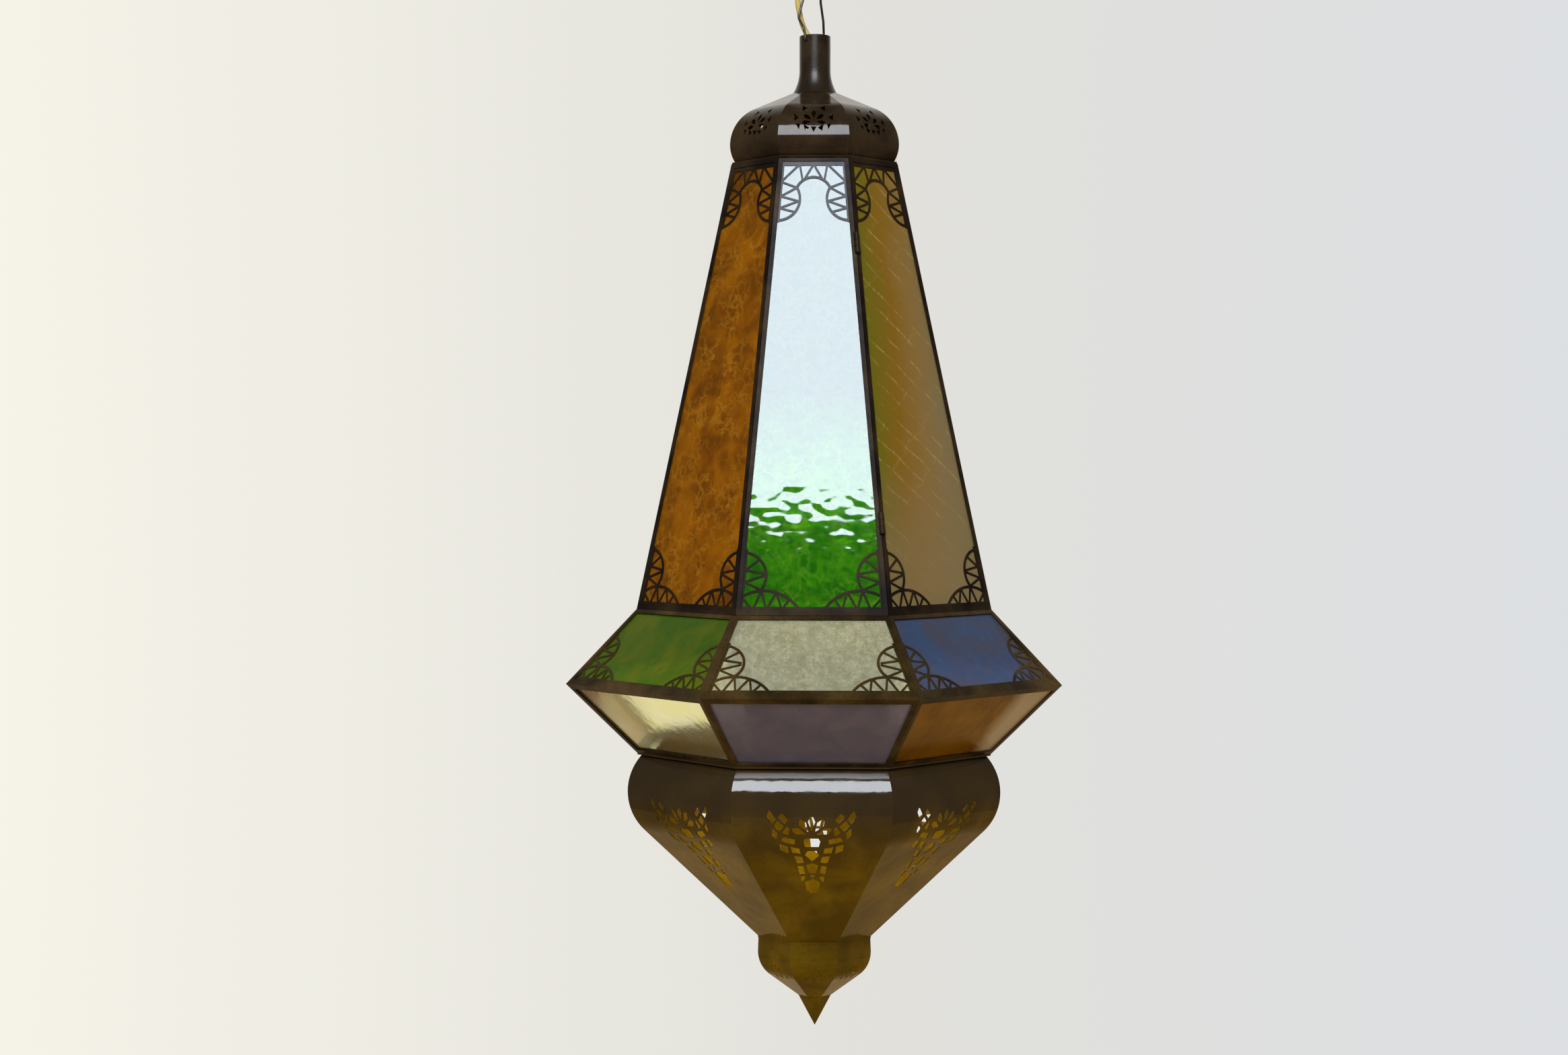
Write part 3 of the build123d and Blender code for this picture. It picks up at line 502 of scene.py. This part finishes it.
# Two panes differ from the rest of their slot: the door's is glossier and has stronger painted
# shade at its head, and the skirt's right one is a plainer amber that turns to tan.
OWN_GLASS = {
    "door_glass": (green("glass_green_door", (0.2, -330, -430), Coat_Weight=0.5,
                         Coat_Roughness=0.03), ripples),
    "skirt_glass_1": (glass("glass_amber_plain", (0.22, 0.085, 0.0), (0.32, 0.13, 0.002),
                            third=((0.62, 0.46, 0.30), 1, 0.36), clear=0.4,
                            Specular_IOR_Level=0.1), seedy),
}
TIER_STEPS = {"taper": 1.8, "shoulder": 1.6, "skirt": 1.6}      # millimetres
HAMMERED_STEP = 1.1
for tier, tier_step in TIER_STEPS.items():
    for side in range(SIDES):
        name, body = f"{tier}_glass_{side}", "lantern"
        if name not in nodes:
            name, body = "door_glass", "door"
        slot = slot_of[name]
        material, relief = OWN_GLASS.get(name, GLASSES[slot])
        step = HAMMERED_STEP if relief is hammered else tier_step
        pane(name, side, body, material, relief, step * MM)


# ---------------------------------------------------------------- edges of the CAD pieces
def soften(names, width, segments=2, painted_highlight=None):
    """Bevels sharp edges by width millimetres; worn is the material of the bevels, whose lighter
    colour is a painted highlight.
    """
    for name in names:
        piece = nodes[name]
        bevel = piece.modifiers.new("edges", "BEVEL")
        bevel.width = width * MM
        bevel.segments = segments
        bevel.limit_method = "ANGLE"
        bevel.angle_limit = math.radians(35)
        bevel.harden_normals = False
        if painted_highlight:
            piece.data.materials.append(painted_highlight)
            bevel.material = 1


# Painted highlights on the bevels of the frames and of the waist's rim.
soften(["taper_frames", "door_frame"], 0.45, painted_highlight=painted_edge_highlight)
soften(["shoulder_frames", "skirt_frames"], 0.8, 4, painted_highlight=painted_rim_highlight)
soften(["dome_gores", "bowl_gores", "finial_gores", "neck_tube", "dome_seat_ring",
        "bowl_top_ring", "bowl_foot_ring"], 0.3)


# ---------------------------------------------------------------- room
def studio_world():
    """A bright wall behind the lantern, and a dim room in front of it and below.

    The camera itself sees a pale backdrop all round, warm on the left and cool on the right.
    """
    world = bpy.data.worlds.new("studio")
    world.use_nodes = True
    tree = world.node_tree
    links = tree.links.new
    split = tree.nodes.new("ShaderNodeSeparateXYZ")
    links(tree.nodes.new("ShaderNodeTexCoord").outputs["Generated"], split.inputs[0])

    def sweep(axis, low, high, *stops):
        shift = tree.nodes.new("ShaderNodeMapRange")
        shift.inputs["From Min"].default_value = low
        shift.inputs["From Max"].default_value = high
        links(split.outputs[axis], shift.inputs["Value"])
        ramp = tree.nodes.new("ShaderNodeValToRGB")
        links(shift.outputs["Result"], ramp.inputs["Fac"])
        set_stops(ramp, stops)
        return ramp.outputs["Color"]

    seen = sweep("X", -0.5, 0.5, (0.05, (0.95, 0.93, 0.83)), (0.5, (0.76, 0.75, 0.71)),
                 (0.95, (0.70, 0.73, 0.78)))
    lit = sweep("Y", -1, 1, (0.0, (0.14, 0.10, 0.06)), (0.7, (0.15, 0.12, 0.08)),
                (0.83, (0.72, 0.69, 0.62)), (1.0, (0.93, 0.91, 0.85)))
    below = sweep("Z", -0.75, -0.25, (0.0, (0.25, 0.17, 0.06)), (1.0, 1.0))
    shade = tree.nodes.new("ShaderNodeMix")
    shade.data_type, shade.blend_type = "RGBA", "MULTIPLY"
    shade.inputs["Factor"].default_value = 1.0
    links(lit, shade.inputs[6])
    links(below, shade.inputs[7])
    eye = tree.nodes.new("ShaderNodeBackground")
    room = tree.nodes["Background"]
    links(seen, eye.inputs["Color"])
    links(shade.outputs[2], room.inputs["Color"])
    pick = tree.nodes.new("ShaderNodeMixShader")
    links(tree.nodes.new("ShaderNodeLightPath").outputs["Is Camera Ray"], pick.inputs[0])
    links(room.outputs[0], pick.inputs[1])
    links(eye.outputs[0], pick.inputs[2])
    links(pick.outputs[0], tree.nodes["World Output"].inputs["Surface"])
    scene.world = world


studio_world()


# ---------------------------------------------------------------- lights
def lamp(name, kind, at, power, colour):
    """A light that the camera doesn't see."""
    light = bpy.data.lights.new(name, kind)
    light.energy = power
    light.color = colour
    made = bpy.data.objects.new(name, light)
    scene.collection.objects.link(made)
    made.location = at
    made.visible_camera = False
    return made


def area(name, at, aim, size, power, colour):
    made = lamp(name, "AREA", at, power, colour)
    made.data.shape = "RECTANGLE"
    made.data.size, made.data.size_y = size
    made.rotation_euler = (Vector(aim) - Vector(at)).to_track_quat("-Z", "Y").to_euler()
    return made


# The door's pane, the dome and the bowl mirror the window.
area("window", (-0.15, -4.2, 2.54), (-0.15, 0, 2.54), (2.4, 2.55), 285, (0.80, 0.89, 1.0))
back_fill = area("back_fill", (0.6, 4.0, 3.2), (0, 0, -0.45), (3.0, 2.0), 45,
                 (1.0, 0.97, 0.92))
back_fill.visible_glossy = False
area("warm_bounce", (0, -0.6, -2.15), (0, -0.6, 0), (5.4, 5.4), 19, (1.0, 0.60, 0.12))

# Shows the inside of the bowl through its holes, and swings with it.
bowl_glow = lamp("bowl_glow", "POINT", (0, 0, -0.66), 0.9, (1.0, 0.92, 0.55))
bowl_glow.data.shadow_soft_size = 0.03
bowl_glow.visible_glossy = bowl_glow.visible_transmission = False
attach(bowl_glow, "lantern")


# ---------------------------------------------------------------- floor
FLOOR_CORNERS = 96
angles = [corner * math.tau / FLOOR_CORNERS for corner in range(FLOOR_CORNERS)]
floor_mesh = bpy.data.meshes.new("floor")
floor_mesh.from_pydata([(FLOOR_RADIUS * math.cos(a), FLOOR_RADIUS * math.sin(a), FLOOR_Z)
                        for a in angles], [], [tuple(range(FLOOR_CORNERS))])
floor = bpy.data.objects.new("floor", floor_mesh)
scene.collection.objects.link(floor)
floor_mesh.materials.append(plain("floor_paint", (0.90, 0.84, 0.70), 0.7, size=8.0))
floor.visible_glossy = False
